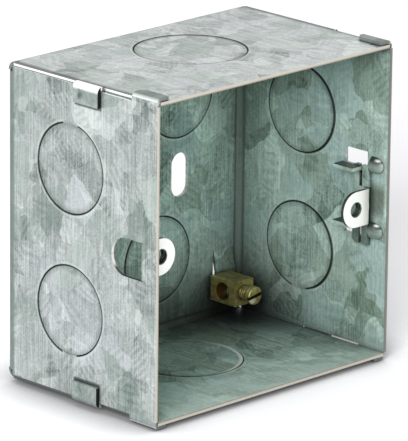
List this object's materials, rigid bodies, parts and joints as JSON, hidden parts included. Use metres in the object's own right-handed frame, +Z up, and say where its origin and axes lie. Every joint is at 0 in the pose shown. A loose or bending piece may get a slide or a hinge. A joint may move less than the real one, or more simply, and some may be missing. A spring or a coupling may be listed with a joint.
{
  "type": "flush back box",
  "caption": "Open-fronted square metal back box with knockouts, a fixed and a sliding threaded lug, and an earth terminal; holds a switch or socket plate in a wall.",
  "frame": {"origin": "centre of the footprint on the lowest surface, which is the outer face of the two lower corner tabs", "axes": "+X along the width, to the right seen from the open front; +Y from the open front to the back; +Z up"},
  "size_m": [0.0738, 0.047, 0.0739],
  "materials": {
    "galvanised_steel": "spangled zinc on rolled sheet",
    "galvanised_slider": "bright zinc on rolled sheet",
    "brass": "plain, slightly dulled"
  },
  "bodies": {
    "box": {"box_body": "galvanised_steel", "earth_terminal_block": "brass"},
    "lug_slider": {"adjustable_lug": "galvanised_slider"},
    "earth_screw": {"earth_terminal_screw": "brass"}
  },
  "joints": [
    {"name": "lug_slide", "type": "slide", "parent": "box", "child": "lug_slider", "axis": [0, 0, 1], "range_m": [0, 0.0038]},
    {"name": "earth_screw_travel", "type": "slide", "parent": "box", "child": "earth_screw", "axis": [0, 1, 0], "range_m": [-0.002, 0.0016]}
  ]
}
